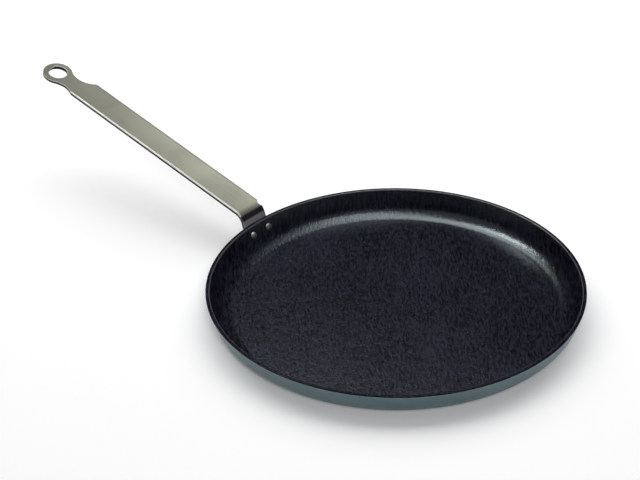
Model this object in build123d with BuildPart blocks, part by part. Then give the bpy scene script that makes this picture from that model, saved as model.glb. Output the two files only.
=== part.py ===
from build123d import *
from math import acos, cos, radians, sin, sqrt, tan
import os

os.makedirs("parts", exist_ok=True)

# A crepe pan: a shallow pressed dish, a bent strip handle and the two rivets that join them.
# Millimetres and degrees. The origin is the middle of the base, where the pan rests.
# The handle points along +X and +Z is up.

# Pan body
rim_diameter = 300.0
pan_height = 23.0
pan_gauge = 3.2
corner_radius = 18.0
wall_lean = 20.0
rim_rounding = 0.9

# Handle strip, from the tongue on the wall to the hanging eye
strip_width = 25.4
strip_gauge = 3.5
tongue_drop = 14.0
tongue_end_radius = 5.0
bend_height = 9.8
bend_radius = 12.0
relief_reach = 2.9
relief_radius = 3.1
relief_depth = 2.2
blade_rise = 13.1
neck_width = 15.2
neck_arc_radius = 19.0
neck_corner_radius = 2.0
eye_reach = 228.0
eye_diameter = 25.2
eye_bore_diameter = 16.0
eye_offset = 2.5
eye_bevel = 0.8
strip_edge_rounding = 0.6

# Rivets
rivet_margin = 3.7
rivet_drop = 7.6
shank_diameter = 4.2
head_diameter = 6.4
head_edge = 0.4
inner_dome = 1.3
outer_dome = 1.3

# Clearances and the overrun that every cut shares
seat_clearance = 0.05
shank_clearance = 0.05
overrun = 5.0

# Pan wall, worked out in the plane through the handle
rim_radius = rim_diameter / 2
lean = radians(wall_lean)
corner_top = corner_radius * (1 - sin(lean))
wall_foot = rim_radius - (pan_height - corner_top) * tan(lean)
base_radius = wall_foot - corner_radius * cos(lean)
rim_inner_radius = rim_radius - pan_gauge / cos(lean)
wall_up = Vector(sin(lean), 0, cos(lean))
wall_out = Vector(cos(lean), 0, -sin(lean))

# Tongue, flat outside and hollowed inside so that its whole width lies on the round wall
tongue_sag = rim_radius - sqrt(rim_radius**2 - (strip_width / 2) ** 2)
tongue_at_rim = Vector(rim_radius - tongue_sag, 0, pan_height)
tongue_foot = tongue_at_rim - wall_up * (tongue_drop / cos(lean))

# Bend, at the sharp corner where the tongue's face and the blade's top face would meet
rise = radians(blade_rise)
blade_along = Vector(cos(rise), 0, sin(rise))
blade_up = Vector(-sin(rise), 0, cos(rise))
bend_corner = tongue_at_rim + wall_up * (bend_height / cos(lean))
under_corner = bend_corner + (wall_out - blade_up) * (strip_gauge / (1 + sin(lean + rise)))
blade_tip = bend_corner + blade_along * (eye_reach + eye_diameter / 2)
blade_plane = Plane(origin=bend_corner, x_dir=blade_along, z_dir=blade_up)

tongue_back = bend_height + tongue_drop + overrun
eye_centre = bend_corner + blade_along * eye_reach + Vector(0, eye_offset, 0) - blade_up * (strip_gauge / 2)

# The wall's outside face, carried up past the rim and held clear of it by the seat clearance
wall_skin = Vector(rim_radius, 0, pan_height) + wall_out * seat_clearance
seat_line_foot = wall_skin - wall_up * ((tongue_drop + overrun) / cos(lean))
seat_line_top = wall_skin + wall_up * (bend_height / cos(lean))

# Neck arcs, each tangent to the eye
eye_radius = eye_diameter / 2
arc_side = neck_width / 2 + neck_arc_radius
neck_reach = eye_reach - sqrt((eye_radius + neck_arc_radius) ** 2 - arc_side**2)
touch_share = eye_radius / (eye_radius + neck_arc_radius)
touch_reach = eye_reach - (eye_reach - neck_reach) * touch_share
touch_side = arc_side * touch_share

# Rivets stand square to the wall, seen where the handle's middle plane cuts it, each in from its edge
rivet_pitch = strip_width - 2 * rivet_margin
rivet_seat = Vector(rim_inner_radius - rivet_drop * tan(lean), 0, pan_height - rivet_drop)
rivet_plane = Plane(origin=rivet_seat, x_dir=(0, 1, 0), z_dir=wall_out)
seat_radius = rivet_seat.X
seat_sag = seat_radius - sqrt(seat_radius**2 - (rivet_pitch / 2) ** 2)
grip = pan_gauge - tongue_sag * cos(lean) + strip_gauge
lining_foot = rivet_seat - wall_out * seat_clearance - wall_up * head_diameter
lining_top = rivet_seat - wall_out * seat_clearance + wall_up * head_diameter


def flat_point(point):
    # A point of the handle's middle plane, as sketch coordinates on that plane.
    return (point.X, point.Z)


def dome_arc(edge_height, dome, side):
    # Half of a low dome over a rivet's axis; side is 1 away from the wall's inside and -1 towards it.
    cap_radius = ((head_diameter / 2) ** 2 + dome**2) / (2 * dome)
    half_way = acos(1 - dome / cap_radius) / 2
    crown = edge_height + dome
    middle = (cap_radius * sin(half_way), side * (crown - cap_radius * (1 - cos(half_way))))
    return ThreePointArc((head_diameter / 2, side * edge_height), middle, (0, side * crown))


# Pan body: one pressing of even thickness, turned about the upright axis
with BuildPart() as pan_body:
    with BuildSketch(Plane.XZ):
        with BuildLine():
            base = Line((0, 0), (base_radius, 0))
            corner = JernArc(base @ 1, base % 1, corner_radius, 90 - wall_lean)
            wall = Line(corner @ 1, (rim_radius, pan_height))
            lip = Line(wall @ 1, (rim_inner_radius, pan_height))
            inner_foot = Vector(wall_foot, corner_top) - Vector(cos(lean), -sin(lean)) * pan_gauge
            inner_wall = Line(lip @ 1, inner_foot)
            inner_corner = JernArc(
                inner_foot, inner_wall % 1, corner_radius - pan_gauge, wall_lean - 90
            )
            floor = Line(inner_corner @ 1, (0, pan_gauge))
            Line(floor @ 1, (0, 0))
        make_face()
    revolve(axis=Axis.Z)
    fillet(pan_body.edges().group_by(Axis.Z)[-1], rim_rounding)
    with BuildSketch(rivet_plane):
        with GridLocations(rivet_pitch, 0, 2, 1):
            Circle(shank_diameter / 2 + shank_clearance)
    extrude(amount=pan_gauge + overrun, both=True, mode=Mode.SUBTRACT)

pan_body.part.label = "pan_body"
export_step(pan_body.part, "parts/pan_body.step")

# Handle: the bent strip seen from the side, cut to its plan, then bored and seated on the wall
with BuildPart() as handle:
    with BuildSketch(Plane.XZ) as strip_side:
        with BuildLine():
            Polyline(
                flat_point(tongue_foot),
                flat_point(bend_corner),
                flat_point(blade_tip),
                flat_point(blade_tip - blade_up * strip_gauge),
                flat_point(under_corner),
                flat_point(tongue_foot + wall_out * strip_gauge),
                close=True,
            )
        make_face()
        outer_bend = strip_side.vertices().sort_by_distance(flat_point(bend_corner))[0]
        fillet(outer_bend, bend_radius)
        inner_bend = strip_side.vertices().sort_by_distance(flat_point(under_corner))[0]
        fillet(inner_bend, bend_radius - strip_gauge)
    extrude(amount=strip_width / 2 + overrun, both=True)

    with BuildSketch(blade_plane) as strip_plan:
        with Locations((neck_reach, 0)):
            Rectangle(neck_reach + tongue_back, strip_width, align=(Align.MAX, Align.CENTER))
        with BuildLine():
            Polyline(
                (neck_reach, eye_offset - neck_width / 2),
                (touch_reach, eye_offset - touch_side),
                (touch_reach, eye_offset + touch_side),
                (neck_reach, eye_offset + neck_width / 2),
                close=True,
            )
        make_face()
        with Locations((eye_reach, eye_offset)):
            Circle(eye_radius)
        with Locations((neck_reach, eye_offset)):
            with GridLocations(0, 2 * arc_side, 1, 2):
                Circle(neck_arc_radius, mode=Mode.SUBTRACT)
        hips = strip_plan.vertices().filter_by(lambda v: eye_reach / 2 < v.X < neck_reach)
        fillet(hips, neck_corner_radius)
    extrude(amount=bend_height + tongue_drop + overrun, both=True, mode=Mode.INTERSECT)

    fillet(handle.edges().filter_by(Axis(tongue_foot, wall_out)), tongue_end_radius)
    across = handle.edges().filter_by(Axis.Y)
    through = handle.edges().filter_by(Axis(bend_corner, blade_up))
    fillet(handle.edges() - across - through, strip_edge_rounding)

    # The relief notch on the far side of the bend and the eye's bore go through the rounded strip
    with BuildSketch(blade_plane):
        with Locations((relief_reach, relief_depth - relief_radius - strip_width / 2)):
            Circle(relief_radius)
        with Locations((eye_reach, eye_offset)):
            Circle(eye_bore_diameter / 2)
    extrude(amount=bend_height + overrun, both=True, mode=Mode.SUBTRACT)
    bore_rims = handle.edges().filter_by(
        lambda e: e.geom_type == GeomType.CIRCLE and abs(e.radius - eye_bore_diameter / 2) < seat_clearance
    )
    chamfer(bore_rims, eye_bevel)

    with BuildSketch(Plane.XZ):
        with BuildLine():
            Polyline(
                (0, tongue_foot.Z - overrun),
                flat_point(seat_line_foot),
                flat_point(seat_line_top),
                (0, bend_corner.Z),
                close=True,
            )
        make_face()
    revolve(axis=Axis.Z, mode=Mode.SUBTRACT)
    with BuildSketch(rivet_plane):
        with GridLocations(rivet_pitch, 0, 2, 1):
            Circle(shank_diameter / 2 + shank_clearance)
    extrude(amount=grip + overrun, both=True, mode=Mode.SUBTRACT)

handle.part.label = "handle"
export_step(handle.part, "parts/handle.step")

# Rivets: the inner heads are cut to the curve of the wall, then the shanks join them to the outer ones
with BuildPart() as rivets:
    for side in (-1, 1):
        middle = rivet_seat + Vector(0, side * rivet_pitch / 2, 0)
        with BuildSketch(Plane(origin=middle, x_dir=(0, 1, 0), z_dir=-wall_up)):
            with BuildLine():
                inner = dome_arc(seat_sag + head_edge, inner_dome, -1)
                Polyline(inner @ 1, (0, 0), (head_diameter / 2, 0), inner @ 0)
            make_face()
            with BuildLine():
                outer = dome_arc(grip + head_edge, outer_dome, 1)
                Polyline(outer @ 1, (0, grip), (head_diameter / 2, grip), outer @ 0)
            make_face()
        revolve(axis=Axis(middle, wall_out))
    with BuildSketch(Plane.XZ):
        with BuildLine():
            Polyline(
                flat_point(lining_foot),
                flat_point(lining_top),
                flat_point(lining_top + wall_out * pan_gauge),
                flat_point(lining_foot + wall_out * pan_gauge),
                close=True,
            )
        make_face()
    revolve(axis=Axis.Z, mode=Mode.SUBTRACT)
    with BuildSketch(rivet_plane.offset(-seat_sag - head_edge)):
        with GridLocations(rivet_pitch, 0, 2, 1):
            Circle(shank_diameter / 2)
    extrude(amount=seat_sag + grip + 2 * head_edge)

rivets.part.label = "rivets"
export_step(rivets.part, "parts/rivets.step")

print("flat base radius", round(base_radius, 3))
print("hanging eye centre", eye_centre, "axis", blade_up)
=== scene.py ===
from math import acos, atan2, cos, pi, radians, sin, sqrt, tan

import bmesh
import bpy
from mathutils import Matrix, Vector


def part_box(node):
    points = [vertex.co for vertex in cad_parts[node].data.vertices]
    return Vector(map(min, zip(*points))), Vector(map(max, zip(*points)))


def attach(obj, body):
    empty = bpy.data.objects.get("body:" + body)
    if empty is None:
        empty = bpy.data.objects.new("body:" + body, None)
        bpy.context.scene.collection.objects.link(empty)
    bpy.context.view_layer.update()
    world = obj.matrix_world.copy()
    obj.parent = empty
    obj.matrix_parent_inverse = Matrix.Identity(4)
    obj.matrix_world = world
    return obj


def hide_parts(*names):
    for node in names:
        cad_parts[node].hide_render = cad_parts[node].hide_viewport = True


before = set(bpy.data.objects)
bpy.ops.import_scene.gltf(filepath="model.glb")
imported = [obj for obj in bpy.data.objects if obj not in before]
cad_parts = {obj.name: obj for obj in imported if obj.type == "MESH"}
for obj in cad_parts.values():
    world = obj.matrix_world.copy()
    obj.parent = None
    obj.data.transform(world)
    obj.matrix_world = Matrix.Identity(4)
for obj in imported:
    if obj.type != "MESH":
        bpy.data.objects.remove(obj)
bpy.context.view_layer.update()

# A crepe pan: the dressed dish, strip handle and rivets, with the studio round them.
# Metres and radians. The origin is the middle of the base, the handle points along +X and +Z is up.

# Dish
rim_radius = 0.150
pan_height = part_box("pan_body")[1].z
pan_gauge = 0.0032
corner_radius = 0.018
lean = radians(20)
rim_rounding = 0.0009
pan_sides = 288
corner_steps = 14
rim_steps = 5

# Handle strip
strip_width = 0.0254
strip_gauge = 0.0035
tongue_drop = 0.014
tongue_end_radius = 0.005
bend_height = 0.0098
bend_radius = 0.012
relief_reach = 0.0029
relief_radius = 0.0031
relief_depth = 0.0022
rise = radians(13.1)
neck_width = 0.0152
neck_arc_radius = 0.019
neck_corner_radius = 0.002
eye_reach = 0.228
eye_radius = 0.0126
eye_bore_radius = 0.008
eye_offset = 0.0025
eye_bevel = 0.0008
strip_edge_rounding = 0.0006
bend_steps = 14
eye_steps = 26
neck_steps = 16
neck_corner_steps = 6
tongue_corner_steps = 9
strip_edge_steps = 4
notch_sides = 72
bore_sides = 96
seat_clearance = 0.00005
overrun = 0.005

# Rivets
rivet_margin = 0.0037
rivet_drop = 0.0076
shank_radius = 0.0021
head_radius = 0.0032
head_edge = 0.0004
inner_dome = 0.0013
outer_dome = 0.0013
rivet_sides = 56
dome_steps = 8
head_edge_steps = 3

# Places worked out from these
rim_inner_radius = rim_radius - pan_gauge / cos(lean)
outer_corner = rim_radius - pan_height * tan(lean)
inner_corner = rim_inner_radius - (pan_height - pan_gauge) * tan(lean)
wall_up = Vector((sin(lean), 0, cos(lean)))
wall_out = Vector((cos(lean), 0, -sin(lean)))
side_way = Vector((0, 1, 0))
tongue_sag = rim_radius - sqrt(rim_radius**2 - (strip_width / 2) ** 2)
bend_corner = Vector((rim_radius - tongue_sag, 0, pan_height)) + wall_up * (bend_height / cos(lean))
blade_along = Vector((cos(rise), 0, sin(rise)))
blade_up = Vector((-sin(rise), 0, cos(rise)))
bend_turn = pi / 2 - lean - rise
bend_start = bend_radius * tan(bend_turn / 2)
tongue_run = (bend_height + tongue_drop) / cos(lean) - bend_start
tongue_down = Vector((-cos(bend_turn), 0, -sin(bend_turn)))
bend_middle = Vector((bend_start, 0, -bend_radius))
arc_side = neck_width / 2 + neck_arc_radius
neck_reach = eye_reach - sqrt((eye_radius + neck_arc_radius) ** 2 - arc_side**2)
touch_share = eye_radius / (eye_radius + neck_arc_radius)
rivet_pitch = strip_width - 2 * rivet_margin
rivet_seat = Vector((rim_inner_radius - rivet_drop * tan(lean), 0, pan_height - rivet_drop))
seat_sag = rivet_seat.x - sqrt(rivet_seat.x**2 - (rivet_pitch / 2) ** 2)
grip = pan_gauge - tongue_sag * cos(lean) + strip_gauge
tiny = 0.00001

# Coat: the way its grain runs, turned from +X towards +Y, and the places of its painted highlight and
# matt top on the rim.
# A slant is 0 where the coat is seen square on and 1 where it is seen edge on.
grain_way = radians(-48.3)
rim_top_from = pan_height - 0.0012
rim_top_full = pan_height - 0.0006
# Where the painted highlight along the rim's inner edge is full and where it ends
rim_highlight_full = rim_inner_radius + 0.0002
rim_highlight_end = rim_inner_radius + 0.0007
rim_matt_full = rim_inner_radius + 0.0012
slant_from = 0.55
slant_full = 0.92

# Painted shade and highlights on the handle: along it from the end of the bend, in from its edges and
# down its sides
bend_shade_from = -0.0050
bend_shade_full = -0.0074
tongue_shade_from = -0.0106
tongue_shade_full = -0.0122
shade_along_from = 0.02
shade_along_full = 0.22
bright_to = 0.198
bright_end = 0.203
edge_highlight_from = 0.0009
edge_highlight_full = 0.0006
edge_shade_full = 0.0012
edge_shade_from = 0.0018
side_change = 0.001
side_from_right = -0.0001
side_from_left = -0.0010
side_blend = -0.0003
rounding_from = -0.00002

# Camera, fitted to the ellipse of the rim in the photograph
lens = 138.99
sensor_width = 36.0
heading = radians(-48.3)
pitch = radians(32.131)
roll = radians(-0.787)
aim = Vector((0.11424, -0.03946, 0))
camera_distance = 2.04324

# Studio. Places are away from the camera, to its right and up; a panel's size is across and along.
# The canopy lights the pan and shows in its gloss. Main and key only show, back and fill only light.
canopy_middle = (0.20, -0.40, 1.42)
canopy_size = (2.5, 1.9)
canopy_radiance = 0.32
main_middle = (0.630, -0.045, 1.40)
main_size = (0.65, 1.78)
main_turn = radians(24.8)
main_radiance = 3.45
key_middle = (0.64, -0.68, 1.38)
key_size = (0.42, 0.42)
key_radiance = 16.0
back_middle = (0.95, 0.0, 1.30)
back_size = (3.0, 1.8)
back_radiance = 2.05
fill_middle = (-1.58, 0.12, 1.23)
fill_size = (0.4, 0.4)
fill_radiance = 20.0
floor_size = 8.0
floor_drop = 0.0002
floor_lift = 0.12
floor_white_from = 0.5
floor_white_full = 1.1

# What the pan mirrors: a pale backdrop up to a low line, and a dark room above it
backdrop_glow = 0.8
backdrop_top = 0.02
room_glow = 0.03
room_foot = 0.08

# Colours
white = (1, 1, 1, 1)
black = (0, 0, 0, 1)
floor_colour = (0.96, 0.96, 0.96, 1)
coat_black = (0.0002, 0.0002, 0.0005, 1)
coat_blue_black = (0.017, 0.0165, 0.032, 1)
# Painted highlight along the rim's inner edge
coat_rim_highlight = (0.075, 0.072, 0.080, 1)
coat_glint = (0.82, 0.97, 1.0, 1)
lacquer_deep = (0.082, 0.136, 0.158, 1)
lacquer_pale = (0.100, 0.160, 0.184, 1)
# Paler lacquer below the rim: wear with a painted highlight
lacquer_rub_and_sheen = (0.26, 0.33, 0.38, 1)
steel_dark = (0.285, 0.288, 0.230, 1)
steel_pale = (0.375, 0.378, 0.305, 1)
# Painted shade round the bend and down the tongue
painted_bend_shade = (0.010, 0.008, 0.012, 1)
painted_tongue_shade = (0.235, 0.220, 0.250, 1)
# Painted shade on the handle's right edge
painted_edge_shade = (0.045, 0.045, 0.040, 1)
# Painted highlight on the handle's edges
painted_edge_highlight = (0.72, 0.73, 0.68, 1)
# Painted shade on the handle's sides
painted_side_shade = (0.012, 0.012, 0.014, 1)
rivet_dark = (0.50, 0.52, 0.52, 1)
rivet_pale = (0.66, 0.68, 0.68, 1)


# Work in edit mode


def open_piece():
    bpy.ops.object.mode_set(mode="EDIT")
    bpy.ops.mesh.select_all(action="SELECT")


def close_piece():
    bpy.ops.object.mode_set(mode="OBJECT")


def choose(kind, test):
    # Leaves selected just the points, edges or faces whose middle passes the test.
    bpy.ops.mesh.select_mode(type=kind)
    bpy.ops.mesh.select_all(action="DESELECT")
    piece = bpy.context.object
    mesh = bmesh.from_edit_mesh(piece.data)
    mesh.normal_update()
    parts = {"VERT": mesh.verts, "EDGE": mesh.edges, "FACE": mesh.faces}[kind]
    found = 0
    for part in parts:
        if kind == "VERT":
            middle = part.co
        elif kind == "EDGE":
            middle = (part.verts[0].co + part.verts[1].co) / 2
        else:
            middle = part.calc_center_median()
        if test(part, piece.matrix_world @ middle):
            part.select_set(True)
            found += 1
    bmesh.update_edit_mesh(piece.data)
    if not found:
        raise ValueError("nothing was chosen on " + piece.name)


def spin(turn, steps, centre, axis):
    # The operator turns against the right-hand rule, so the turn goes in with its sign changed.
    bpy.ops.mesh.spin(steps=steps, angle=-turn, center=centre, axis=axis)


def draw_out(move=(0, 0, 0), scale=1.0, centre=(0, 0, 0)):
    # Extrudes what is selected, moves it and then draws it in or out round an upright axis.
    bpy.ops.mesh.extrude_region_move(TRANSFORM_OT_translate={"value": move})
    if scale != 1.0:
        bpy.ops.transform.resize(value=(scale, scale, 1), center_override=centre)


def bevel(offset, segments, kind="EDGES"):
    bpy.ops.mesh.bevel(offset_type="OFFSET", offset=offset, segments=segments, profile=0.5, affect=kind)


def cut_with(piece, cutter):
    hole = piece.modifiers.new("cut", "BOOLEAN")
    hole.operation = "DIFFERENCE"
    hole.solver = "EXACT"
    hole.object = cutter
    bpy.context.view_layer.objects.active = piece
    bpy.ops.object.modifier_apply(modifier=hole.name)
    bpy.data.objects.remove(cutter)


def new_primitive(adder, **sizes):
    bpy.ops.object.select_all(action="DESELECT")
    adder(**sizes)
    return bpy.context.object


def place(piece, x_way, y_way, z_way, origin):
    # Moves a piece from its own bench frame to the row frame and leaves its object at the origin.
    turn = Matrix((x_way, y_way, z_way)).transposed().to_4x4()
    piece.matrix_world = Matrix.Translation(origin) @ turn @ piece.matrix_world
    settle(piece)


def settle(piece):
    bpy.ops.object.select_all(action="DESELECT")
    piece.select_set(True)
    bpy.context.view_layer.objects.active = piece
    bpy.ops.object.transform_apply(location=True, rotation=True, scale=True)


def polish(piece, smooth_angle):
    # Smooth shading that keeps flat faces flat right up to their rounded edges.
    settle(piece)
    bpy.ops.object.shade_smooth_by_angle(angle=smooth_angle)
    weighted = piece.modifiers.new("weighted", "WEIGHTED_NORMAL")
    weighted.keep_sharp = True
    bpy.ops.object.modifier_apply(modifier=weighted.name)


def face_outwards():
    bpy.ops.mesh.select_all(action="SELECT")
    bpy.ops.mesh.remove_doubles(threshold=tiny / 10)
    bpy.ops.mesh.normals_make_consistent(inside=False)


# Shading nodes


def add(tree, kind, settings=None, **inputs):
    # One node, with its settings and with each input given as a value or as the socket that feeds it.
    node = tree.nodes.new(kind)
    for name, value in (settings or {}).items():
        setattr(node, name, value)
    for name, value in inputs.items():
        feed(tree, node, name.replace("_", " "), value)
    return node


def feed(tree, node, name, value):
    socket = node.inputs[name]
    if isinstance(value, bpy.types.NodeSocket):
        tree.links.new(value, socket)
    else:
        socket.default_value = value


def feed_in_order(tree, node, values):
    for index, value in enumerate(values):
        feed(tree, node, index, value)
    return node.outputs[0]


def combine(tree, operation, *values):
    return feed_in_order(tree, add(tree, "ShaderNodeMath", {"operation": operation}), values)


def times(tree, first, second):
    return combine(tree, "MULTIPLY", first, second)


def plus(tree, first, second):
    return combine(tree, "ADD", first, second)


def vector_times(tree, first, second):
    node = add(tree, "ShaderNodeVectorMath", {"operation": "MULTIPLY"})
    return feed_in_order(tree, node, (first, second))


def blend_colours(tree, share, first, second):
    node = add(tree, "ShaderNodeMix", {"data_type": "RGBA"})
    for index, value in ((0, share), (6, first), (7, second)):
        feed(tree, node, index, value)
    return node.outputs[2]


def spread(tree, value, low, high, to_low, to_high, kind="SMOOTHSTEP"):
    # Takes the value's range from low to high over to another range, held at both ends.
    node = add(tree, "ShaderNodeMapRange", {"interpolation_type": kind})
    return feed_in_order(tree, node, (value, low, high, to_low, to_high))


def graded(tree, mask, at_none, at_full):
    return spread(tree, mask, 0.0, 1.0, at_none, at_full)


def start_group(name, inputs, outputs):
    group = bpy.data.node_groups.new(name, "ShaderNodeTree")
    for label, kind, value in inputs:
        socket = group.interface.new_socket(name=label, in_out="INPUT", socket_type=kind)
        if value is not None:
            socket.default_value = value
    for label in outputs:
        group.interface.new_socket(name=label, in_out="OUTPUT", socket_type="NodeSocketFloat")
    return group, group.nodes.new("NodeGroupInput").outputs, group.nodes.new("NodeGroupOutput")


def use_group(tree, group, **inputs):
    node = add(tree, "ShaderNodeGroup", {"node_tree": group}, **inputs)
    return node.outputs


def make_pebble_grain():
    # The fine orange peel of a sprayed or baked coat, with a speckle for its gloss.
    group, given, result = start_group(
        "pebble_grain",
        [("Vector", "NodeSocketVector", None), ("Size", "NodeSocketFloat", 0.001)],
        ["Height", "Speckle"],
    )
    here = given["Vector"]
    scale = combine(group, "DIVIDE", 1.0, given["Size"])
    soft = add(group, "ShaderNodeTexNoise", Vector=here, Scale=scale, Detail=2.0, Roughness=0.6)
    pits = add(group, "ShaderNodeTexVoronoi", {"feature": "SMOOTH_F1"}, Vector=here, Scale=scale)
    fine = add(
        group, "ShaderNodeTexNoise", Vector=here,
        Scale=times(group, scale, 2.3), Detail=3.0, Roughness=0.7,
    )
    height = plus(group, soft.outputs["Fac"], times(group, pits.outputs["Distance"], 0.5))
    feed(group, result, "Height", height)
    feed(group, result, "Speckle", spread(group, fine.outputs["Fac"], 0.3, 0.7, 0.0, 1.0))
    return group


def make_drawn_streaks():
    # Fine lines that follow the first axis of the vector, as brushing or drawing leaves them.
    group, given, result = start_group(
        "drawn_streaks",
        [
            ("Vector", "NodeSocketVector", None),
            ("Line Width", "NodeSocketFloat", 0.0004),
            ("Line Length", "NodeSocketFloat", 0.03),
        ],
        ["Height", "Tone"],
    )
    across = combine(group, "DIVIDE", 1.0, given["Line Width"])
    along = combine(group, "DIVIDE", 1.0, given["Line Length"])
    stretch = add(group, "ShaderNodeCombineXYZ", X=along, Y=across, Z=across)
    placed = vector_times(group, given["Vector"], stretch.outputs[0])
    lines = add(group, "ShaderNodeTexNoise", Vector=placed, Scale=1.0, Detail=3.0, Roughness=0.65)
    broad = add(group, "ShaderNodeTexNoise", Vector=placed, Scale=0.21, Detail=1.0)
    tone = plus(group, times(group, lines.outputs["Fac"], 0.5), times(group, broad.outputs["Fac"], 0.5))
    feed(group, result, "Height", lines.outputs["Fac"])
    feed(group, result, "Tone", spread(group, tone, 0.3, 0.7, 0.0, 1.0))
    return group


def make_handling_marks():
    # Broad cloudy patches, as use and washing leave them.
    group, given, result = start_group(
        "handling_marks",
        [("Vector", "NodeSocketVector", None), ("Patch Size", "NodeSocketFloat", 0.05)],
        ["Patches"],
    )
    scale = combine(group, "DIVIDE", 1.0, given["Patch Size"])
    patches = add(
        group, "ShaderNodeTexNoise", Vector=given["Vector"],
        Scale=scale, Detail=4.0, Roughness=0.55, Distortion=0.6,
    )
    feed(group, result, "Patches", spread(group, patches.outputs["Fac"], 0.35, 0.65, 0.0, 1.0))
    return group


def make_edge_rub_and_sheen():
    # Wear with a painted highlight, full at an edge and fading over its reach, broken up by noise.
    group, given, result = start_group(
        "edge_rub_and_sheen",
        [
            ("Vector", "NodeSocketVector", None),
            ("Distance", "NodeSocketFloat", 0.0),
            ("Reach", "NodeSocketFloat", 0.001),
            ("Break Up", "NodeSocketFloat", 0.002),
        ],
        ["Mask"],
    )
    noise = add(
        group, "ShaderNodeTexNoise", Vector=given["Vector"],
        Scale=combine(group, "DIVIDE", 1.0, given["Break Up"]), Detail=3.0, Roughness=0.6,
    )
    uneven = spread(group, noise.outputs["Fac"], 0.3, 0.7, 0.2, 1.8)
    reach = times(group, given["Reach"], uneven)
    feed(group, result, "Mask", spread(group, given["Distance"], 0.0, reach, 1.0, 0.0))
    return group


pebble_grain = make_pebble_grain()
drawn_streaks = make_drawn_streaks()
handling_marks = make_handling_marks()
edge_rub_and_sheen = make_edge_rub_and_sheen()


def start_material(name):
    material = bpy.data.materials.new(name)
    material.use_nodes = True
    tree = material.node_tree
    return material, tree, tree.nodes["Principled BSDF"]


def object_vector(tree):
    return add(tree, "ShaderNodeTexCoord").outputs["Object"]


def radius_and_height(tree, vector):
    x, y, height = add(tree, "ShaderNodeSeparateXYZ", Vector=vector).outputs
    square = plus(tree, times(tree, x, x), times(tree, y, y))
    return combine(tree, "SQRT", square), height


def raise_grain(tree, surface, height, strength, distance):
    bump = add(tree, "ShaderNodeBump", Strength=strength, Distance=distance, Height=height)
    feed(tree, surface, "Normal", bump.outputs[0])


def non_stick_coating():
    # Black baked coat of the dish's inside, over the straight grain of the rolled sheet.
    material, tree, surface = start_material("non_stick_coating")
    here = object_vector(tree)
    radius, height = radius_and_height(tree, here)
    turn = add(tree, "ShaderNodeVectorRotate", {"rotation_type": "Z_AXIS"}, Vector=here, Angle=-grain_way)
    # The grain is drawn out up the wall, because the wall was pressed from the flat sheet
    flattened = vector_times(tree, turn.outputs[0], (1, 1, 0.12))
    streaks = use_group(tree, drawn_streaks, Vector=flattened, Line_Width=0.0016, Line_Length=0.0060)
    grain = use_group(tree, pebble_grain, Vector=here, Size=0.0014)
    marks = use_group(tree, handling_marks, Vector=here, Patch_Size=0.07)
    fleck = spread(tree, streaks["Height"], 0.40, 0.60, 0.0, 1.0)
    tone = plus(tree, times(tree, fleck, 0.75), times(tree, marks["Patches"], 0.25))
    colour = blend_colours(tree, tone, coat_black, coat_blue_black)
    # Painted highlight: a paler line along the rim's inner edge
    rim_top = spread(tree, height, rim_top_from, rim_top_full, 0.0, 1.0)
    inside = spread(tree, radius, rim_highlight_full, rim_highlight_end, 1.0, 0.0)
    colour = blend_colours(tree, times(tree, rim_top, inside), colour, coat_rim_highlight)
    feed(tree, surface, "Base Color", colour)
    feed(tree, surface, "Roughness", graded(tree, grain["Speckle"], 0.14, 0.20))
    surface.inputs["IOR"].default_value = 1.65
    surface.inputs["Specular Tint"].default_value = coat_glint
    # The baked surface loses its gloss at a slant, and has next to none on top of the rim
    slant = add(tree, "ShaderNodeLayerWeight", Blend=0.5).outputs["Facing"]
    gloss = spread(tree, slant, slant_from, slant_full, 0.5, 0.04)
    over_rim = spread(tree, radius, rim_highlight_end, rim_matt_full, 1.0, 0.08)
    feed(tree, surface, "Specular IOR Level", times(tree, gloss, over_rim))
    relief = plus(tree, streaks["Height"], times(tree, grain["Height"], 0.4))
    raise_grain(tree, surface, relief, 1.0, 0.00024)
    return material


def outside_lacquer():
    # Blue-grey baked lacquer of the dish's outside, paler at the rim from wear and a painted highlight.
    material, tree, surface = start_material("outside_lacquer")
    here = object_vector(tree)
    below_rim = combine(tree, "SUBTRACT", pan_height, radius_and_height(tree, here)[1])
    grain = use_group(tree, pebble_grain, Vector=here, Size=0.0016)
    marks = use_group(tree, handling_marks, Vector=here, Patch_Size=0.04)
    rub_and_sheen = use_group(tree, edge_rub_and_sheen, Vector=here, Distance=below_rim, Reach=0.0022, Break_Up=0.004)
    colour = blend_colours(tree, marks["Patches"], lacquer_deep, lacquer_pale)
    # Paler band just below the rim: wear with a painted highlight
    colour = blend_colours(tree, times(tree, rub_and_sheen["Mask"], 0.5), colour, lacquer_rub_and_sheen)
    feed(tree, surface, "Base Color", colour)
    feed(tree, surface, "Roughness", graded(tree, grain["Speckle"], 0.34, 0.46))
    surface.inputs["IOR"].default_value = 1.5
    raise_grain(tree, surface, grain["Height"], 0.25, 0.0001)
    return material


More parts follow.
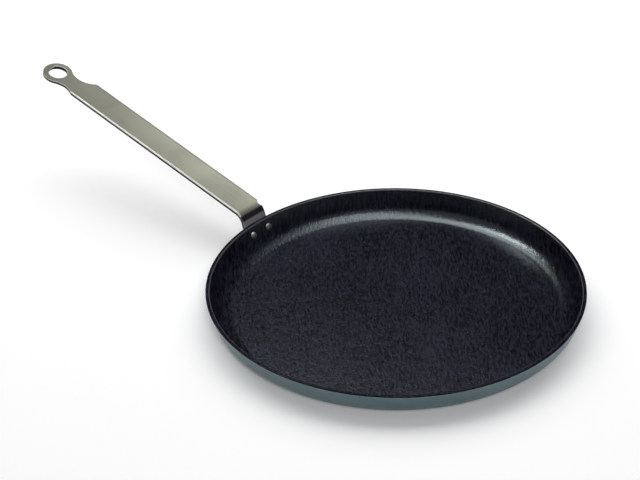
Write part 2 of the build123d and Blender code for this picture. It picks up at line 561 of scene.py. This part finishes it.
def satin_strip_steel():
    # Grey-green satin steel of the handle, drawn along the strip. Left is the +Y side.
    material, tree, surface = start_material("satin_strip_steel")
    here = add(tree, "ShaderNodeAttribute", {"attribute_name": "strip_run"}).outputs["Vector"]
    along, across, depth = add(tree, "ShaderNodeSeparateXYZ", Vector=here).outputs
    left = strip_width / 2
    right = -left
    streaks = use_group(tree, drawn_streaks, Vector=here, Line_Width=0.00045, Line_Length=0.035)
    marks = use_group(tree, handling_marks, Vector=here, Patch_Size=0.035)
    tone = plus(tree, times(tree, streaks["Tone"], 0.55), times(tree, marks["Patches"], 0.45))
    colour = blend_colours(tree, tone, steel_dark, steel_pale)
    # Painted shade: darker towards the eye, and darker on its left side than on its right
    painted_shade_along = spread(tree, along, shade_along_from, shade_along_full, 1.0, 0.46)
    painted_shade_across = spread(tree, across, right, left, 1.12, 0.82, "LINEAR")
    colour = vector_times(tree, colour, times(tree, painted_shade_along, painted_shade_across))
    # Painted shade: black round the bend and grey down the tongue below, for the shade and dark
    # reflection there
    root = spread(tree, along, bend_shade_full, bend_shade_from, 1.0, 0.0)
    tongue = spread(tree, along, tongue_shade_full, tongue_shade_from, 1.0, 0.0)
    colour = blend_colours(tree, root, colour, blend_colours(tree, tongue, painted_bend_shade, painted_tongue_shade))
    # Painted shade: a dark line along its right edge
    right_edge_shade = spread(tree, across, right + edge_shade_full, right + edge_shade_from, 0.6, 0.0)
    colour = blend_colours(tree, right_edge_shade, colour, painted_edge_shade)
    # Painted highlight on its left edge as far as the neck and on the rounding of both edges, and painted
    # shade on both sides below the edges
    side_start = spread(tree, across, -side_change, side_change, side_from_right, side_from_left)
    blade = spread(tree, along, bright_to, bright_end, 1.0, 0.0)
    left_edge_highlight = spread(tree, across, left - edge_highlight_from, left - edge_highlight_full, 0.0, 1.0)
    left_edge_highlight = times(tree, left_edge_highlight, blade)
    rounding = spread(tree, depth, side_start, rounding_from, 1.0, 0.0)
    bright = times(tree, combine(tree, "MAXIMUM", rounding, left_edge_highlight), graded(tree, root, 0.95, 0.0))
    colour = blend_colours(tree, bright, colour, painted_edge_highlight)
    # Painted shade on the sides below the rounded edges
    below = combine(tree, "SUBTRACT", depth, side_start)
    side = spread(tree, below, side_blend, 0.0, 1.0, 0.0)
    colour = blend_colours(tree, side, colour, painted_side_shade)
    feed(tree, surface, "Base Color", colour)
    feed(tree, surface, "Metallic", graded(tree, root, 0.8, 0.1))
    feed(tree, surface, "Roughness", graded(tree, tone, 0.34, 0.42))
    raise_grain(tree, surface, streaks["Height"], 0.15, 0.0001)
    return material


def rivet_aluminium():
    # Pale satin metal of the rivets.
    material, tree, surface = start_material("rivet_aluminium")
    grain = use_group(tree, pebble_grain, Vector=object_vector(tree), Size=0.0006)
    feed(tree, surface, "Base Color", blend_colours(tree, grain["Speckle"], rivet_dark, rivet_pale))
    surface.inputs["Metallic"].default_value = 1.0
    feed(tree, surface, "Roughness", graded(tree, grain["Speckle"], 0.46, 0.58))
    raise_grain(tree, surface, grain["Height"], 0.2, 0.00005)
    return material


# Pieces


def make_dish():
    # The dish from one disc: wall, rim, inside wall and floor are drawn from it, then corners rounded.
    dish = new_primitive(
        bpy.ops.mesh.primitive_circle_add, vertices=pan_sides, radius=outer_corner, fill_type="TRIFAN",
    )
    dish.name = "dish"
    open_piece()
    choose("EDGE", lambda edge, middle: edge.is_boundary)
    draw_out((0, 0, pan_height), rim_radius / outer_corner)
    draw_out(scale=rim_inner_radius / rim_radius)
    draw_out((0, 0, pan_gauge - pan_height), inner_corner / rim_inner_radius)
    bpy.ops.mesh.extrude_region_move()
    bpy.ops.mesh.merge(type="CENTER")
    face_outwards()

    # Each ring's edges are bevelled back from the corner by as much as its radius asks for
    foot_share = tan((pi / 2 - lean) / 2)
    lip_share = tan((pi / 2 + lean) / 2)
    ring_share = cos(pi / pan_sides)
    for level, radius, offset, segments in (
        (0, outer_corner, corner_radius * foot_share, corner_steps),
        (pan_gauge, inner_corner, (corner_radius - pan_gauge) * foot_share, corner_steps),
        (pan_height, rim_radius, rim_rounding / foot_share, rim_steps),
        (pan_height, rim_inner_radius, rim_rounding / lip_share, rim_steps),
    ):
        choose(
            "EDGE",
            lambda edge, middle: abs(middle.z - level) < tiny
            and abs(middle.xy.length - radius * ring_share) < tiny,
        )
        bevel(offset, segments)
    face_outwards()
    dish.data.materials.append(outside_lacquer())
    dish.data.materials.append(non_stick_coating())
    choose("FACE", lambda face, middle: face.normal.z > 0)
    dish.active_material_index = 1
    bpy.ops.object.material_slot_assign()
    close_piece()
    polish(dish, radians(40))
    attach(dish, "root")
    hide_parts("pan_body")


def draw_handle_outline():
    # The strip's outline, flat on the bench: a point is spun round eye and neck, then drawn back.
    tip = Vector((eye_reach + eye_radius, eye_offset, 0))
    touch_turn = pi - atan2(arc_side * touch_share, (eye_reach - neck_reach) * touch_share)
    for side in (1, -1):
        neck_centre = Vector((neck_reach, eye_offset + side * arc_side, 0))
        hip_drop = side * neck_centre.y - strip_width / 2
        hip_back = sqrt(neck_arc_radius**2 - hip_drop**2)
        touch_angle = atan2(arc_side, eye_reach - neck_reach)
        hip_angle = atan2(hip_drop, hip_back)
        choose("VERT", lambda point, middle: (middle - tip).length < tiny)
        spin(side * touch_turn, eye_steps, (eye_reach, eye_offset, 0), (0, 0, 1))
        spin(-side * (pi - touch_angle - hip_angle), neck_steps, neck_centre, (0, 0, 1))
        draw_out((bend_start - neck_reach + hip_back, 0, 0))
    choose("VERT", lambda point, middle: abs(middle.x - bend_start) < tiny)
    bpy.ops.mesh.edge_face_add()
    choose(
        "VERT",
        lambda point, middle: bend_start + tiny < middle.x < neck_reach
        and abs(abs(middle.y) - strip_width / 2) < tiny,
    )
    bevel(neck_corner_radius / 2, neck_corner_steps, "VERTICES")
    bpy.ops.mesh.select_all(action="SELECT")
    bpy.ops.mesh.edge_face_add()


def make_handle():
    handle = new_primitive(
        bpy.ops.mesh.primitive_plane_add, size=strip_gauge,
        location=(eye_reach + eye_radius, eye_offset, 0),
    )
    handle.name = "strip_handle"
    open_piece()
    bpy.ops.mesh.merge(type="CENTER")
    draw_handle_outline()
    draw_out((0, 0, -strip_gauge))
    face_outwards()

    # The root's end face is spun round the bend and drawn down to the end of the tongue
    choose("FACE", lambda face, middle: abs(middle.x - bend_start) < tiny and face.normal.x < -0.9)
    spin(-bend_turn, bend_steps, bend_middle, (0, 1, 0))
    draw_out(tongue_down * tongue_run)
    face_outwards()

    def at_tongue_end(edge, middle):
        way = (edge.verts[1].co - edge.verts[0].co).normalized()
        return (
            abs(middle.dot(tongue_down) - bend_start - tongue_run) < tiny
            and abs(abs(middle.y) - strip_width / 2) < tiny
            and abs(way.y) < 0.1
        )

    choose("EDGE", at_tongue_end)
    bevel(tongue_end_radius, tongue_corner_steps)
    choose("EDGE", lambda edge, middle: edge.calc_face_angle(0) > radians(60))
    bevel(strip_edge_rounding, strip_edge_steps)
    close_piece()

    # Punched through: the relief notch in the -Y edge at the bend and the bore of the eye
    punch_length = 2 * (bend_height + strip_gauge)
    notch_side = relief_depth - relief_radius - strip_width / 2
    for sides, radius, reach, side in (
        (notch_sides, relief_radius, relief_reach, notch_side),
        (bore_sides, eye_bore_radius, eye_reach, eye_offset),
    ):
        cut_with(handle, new_primitive(
            bpy.ops.mesh.primitive_cylinder_add, vertices=sides, radius=radius, depth=punch_length,
            location=(reach, side, 0),
        ))
    settle(handle)
    open_piece()
    eye_middle = Vector((eye_reach, eye_offset))

    def on_bore_rim(edge, middle):
        return (
            abs((middle.xy - eye_middle).length - eye_bore_radius) < 5 * tiny
            and (abs(middle.z) < tiny or abs(middle.z + strip_gauge) < tiny)
        )

    choose("EDGE", on_bore_rim)
    bevel(eye_bevel, strip_edge_steps)
    close_piece()
    place(handle, blade_along, side_way, blade_up, bend_corner)

    # Seated on the dish: the tongue is hollowed to the round wall
    seat_foot = rim_radius + seat_clearance / cos(lean) - (pan_height + overrun) * tan(lean)
    seat_height = pan_height + bend_height + 2 * overrun
    cut_with(handle, new_primitive(
        bpy.ops.mesh.primitive_cone_add, vertices=pan_sides, radius1=seat_foot,
        radius2=seat_foot + seat_height * tan(lean), depth=seat_height,
        location=(0, 0, seat_height / 2 - overrun),
    ))
    handle.data.materials.append(satin_strip_steel())
    mark_strip_run(handle)
    polish(handle, radians(35))
    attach(handle, "root")
    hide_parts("handle")


def mark_strip_run(handle):
    # Each point's place along, across and through the strip, so that the finish follows its bend.
    bench = Matrix((blade_along, side_way, blade_up))
    run = handle.data.attributes.new("strip_run", "FLOAT_VECTOR", "POINT")
    for index, point in enumerate(handle.data.vertices):
        spot = bench @ (point.co - bend_corner)
        from_middle = spot - bend_middle
        turned = atan2(-from_middle.x, from_middle.z)
        if turned <= 0:
            along = spot.x - bend_start
            depth = spot.z
        elif turned < bend_turn:
            along = -bend_radius * turned
            depth = from_middle.xz.length - bend_radius
        else:
            past = tongue_down.dot(from_middle)
            along = -bend_radius * bend_turn - past
            depth = sqrt(max(from_middle.x**2 + from_middle.z**2 - past**2, 0)) - bend_radius
        run.data[index].vector = (along, spot.y, depth)


def dome_rings(radius, dome, way):
    # Draws the selected ring up into a low dome and closes it at the crown.
    cap_radius = (radius**2 + dome**2) / (2 * dome)
    full = acos(1 - dome / cap_radius)
    last_radius = radius
    last_lift = cap_radius * cos(full)
    for step in range(1, dome_steps):
        angle = full * (1 - step / dome_steps)
        lift = cap_radius * cos(angle)
        draw_out((0, 0, way * (lift - last_lift)), cap_radius * sin(angle) / last_radius)
        last_radius = cap_radius * sin(angle)
        last_lift = lift
    draw_out((0, 0, way * (cap_radius - last_lift)))
    bpy.ops.mesh.merge(type="CENTER")


def make_rivets():
    # One rivet is made on the bench with its axis upright, and copied to the second place.
    # Left and right are as seen from the eye, so the left one is on the -Y side.
    inner_rim = -seat_sag - head_edge
    outer_rim = grip + head_edge
    rivet = new_primitive(
        bpy.ops.mesh.primitive_circle_add, vertices=rivet_sides, radius=head_radius, fill_type="NOTHING",
        location=(0, 0, inner_rim),
    )
    open_piece()
    dome_rings(head_radius, inner_dome, -1)
    choose("EDGE", lambda edge, middle: edge.is_boundary or edge.is_wire)
    draw_out((0, 0, seat_sag - inner_rim))
    draw_out(scale=shank_radius / head_radius)
    draw_out((0, 0, grip - seat_sag))
    draw_out(scale=head_radius / shank_radius)
    draw_out((0, 0, head_edge))
    dome_rings(head_radius, outer_dome, 1)
    face_outwards()
    choose(
        "EDGE",
        lambda edge, middle: abs(middle.xy.length - head_radius * cos(pi / rivet_sides)) < tiny
        and (abs(middle.z - inner_rim) < tiny or abs(middle.z - outer_rim) < tiny),
    )
    bevel(head_edge / 3, head_edge_steps)
    close_piece()
    rivet.data.materials.append(rivet_aluminium())
    bpy.ops.object.select_all(action="DESELECT")
    rivet.select_set(True)
    bpy.ops.object.duplicate(linked=False)
    second = bpy.context.object
    for piece, name, side in ((rivet, "rivet_left", -1), (second, "rivet_right", 1)):
        piece.name = name
        place(piece, side_way, wall_up, wall_out, rivet_seat + side_way * (side * rivet_pitch / 2))
        polish(piece, radians(50))
        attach(piece, "root")
        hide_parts("rivets")


# Studio


def seen_rays(tree):
    # 1 for the rays that show the background: to the camera, off metal and through glass.
    path = add(tree, "ShaderNodeLightPath").outputs
    seen = combine(tree, "MAXIMUM", path["Is Camera Ray"], path["Is Glossy Ray"])
    return combine(tree, "MAXIMUM", seen, path["Is Transmission Ray"])


def make_floor():
    # Matt white under the pan, and plain white further out, where the lamps no longer reach.
    floor = new_primitive(bpy.ops.mesh.primitive_plane_add, size=floor_size, location=(0, 0, -floor_drop))
    floor.name = "studio_floor"
    material, tree, surface = start_material("studio_floor")
    radius = radius_and_height(tree, object_vector(tree))[0]
    far = spread(tree, radius, floor_white_from, floor_white_full, 0.0, 1.0)
    lift = spread(tree, far, 0.0, 1.0, floor_lift, 1.0, "LINEAR")
    feed(tree, surface, "Base Color", blend_colours(tree, far, floor_colour, black))
    surface.inputs["Roughness"].default_value = 0.9
    surface.inputs["Specular IOR Level"].default_value = 0.0
    surface.inputs["Emission Color"].default_value = white
    feed(tree, surface, "Emission Strength", times(tree, seen_rays(tree), lift))
    floor.data.materials.append(material)


def make_softbox(name, middle, size, radiance, turn=0.0, aimed=False):
    # A lamp panel of one even brightness: level and turned on its middle, or aimed at the dish.
    light = bpy.data.lights.new(name, "AREA")
    light.shape = "RECTANGLE"
    light.size, light.size_y = size
    light.energy = radiance * pi * size[0] * size[1]
    lamp = bpy.data.objects.new(name, light)
    bpy.context.scene.collection.objects.link(lamp)
    ways = Matrix(((cos(heading), sin(heading), 0), (sin(heading), -cos(heading), 0), (0, 0, 1)))
    lamp.location = ways.transposed() @ Vector(middle)
    lamp.rotation_euler = (0, 0, heading - pi / 2 + turn)
    if aimed:
        lamp.rotation_euler = lamp.location.to_track_quat("Z", "Y").to_euler()
    lamp.visible_camera = False
    return lamp


def make_lamps():
    make_softbox("canopy", canopy_middle, canopy_size, canopy_radiance)
    mirrored = (
        make_softbox("main_softbox", main_middle, main_size, main_radiance, main_turn),
        make_softbox("key_softbox", key_middle, key_size, key_radiance),
    )
    for lamp in mirrored:
        lamp.visible_diffuse = False
    lighting = (
        make_softbox("back_softbox", back_middle, back_size, back_radiance, aimed=True),
        make_softbox("fill_softbox", fill_middle, fill_size, fill_radiance, aimed=True),
    )
    for lamp in lighting:
        lamp.visible_glossy = False


def make_world():
    # White for the camera. The pan mirrors the pale backdrop low down and the dark room above.
    world = bpy.data.worlds.new("studio")
    bpy.context.scene.world = world
    world.use_nodes = True
    tree = world.node_tree
    background = tree.nodes["Background"]
    background.inputs["Color"].default_value = white
    way = add(tree, "ShaderNodeTexCoord").outputs["Generated"]
    level = add(tree, "ShaderNodeSeparateXYZ", Vector=way).outputs["Z"]
    glow = spread(tree, level, backdrop_top, room_foot, backdrop_glow, room_glow)
    camera_ray = add(tree, "ShaderNodeLightPath").outputs["Is Camera Ray"]
    feed(tree, background, "Strength", combine(tree, "MAXIMUM", camera_ray, glow))


def make_camera():
    data = bpy.data.cameras.new("camera")
    data.lens = lens
    data.sensor_width = sensor_width
    data.sensor_fit = "HORIZONTAL"
    data.clip_start = 0.05
    data.clip_end = 50
    camera = bpy.data.objects.new("camera", data)
    bpy.context.scene.collection.objects.link(camera)
    ahead = Vector((cos(pitch) * cos(heading), cos(pitch) * sin(heading), -sin(pitch)))
    level = Vector((sin(heading), -cos(heading), 0))
    raised = level.cross(ahead)
    right = level * cos(roll) + raised * sin(roll)
    up = raised * cos(roll) - level * sin(roll)
    camera.matrix_world = Matrix.Translation(aim - ahead * camera_distance) @ (
        Matrix((right, up, -ahead)).transposed().to_4x4()
    )
    bpy.context.scene.camera = camera


make_camera()
make_dish()
make_handle()
make_rivets()
make_floor()
make_lamps()
make_world()
bpy.context.scene.view_settings.view_transform = "Standard"
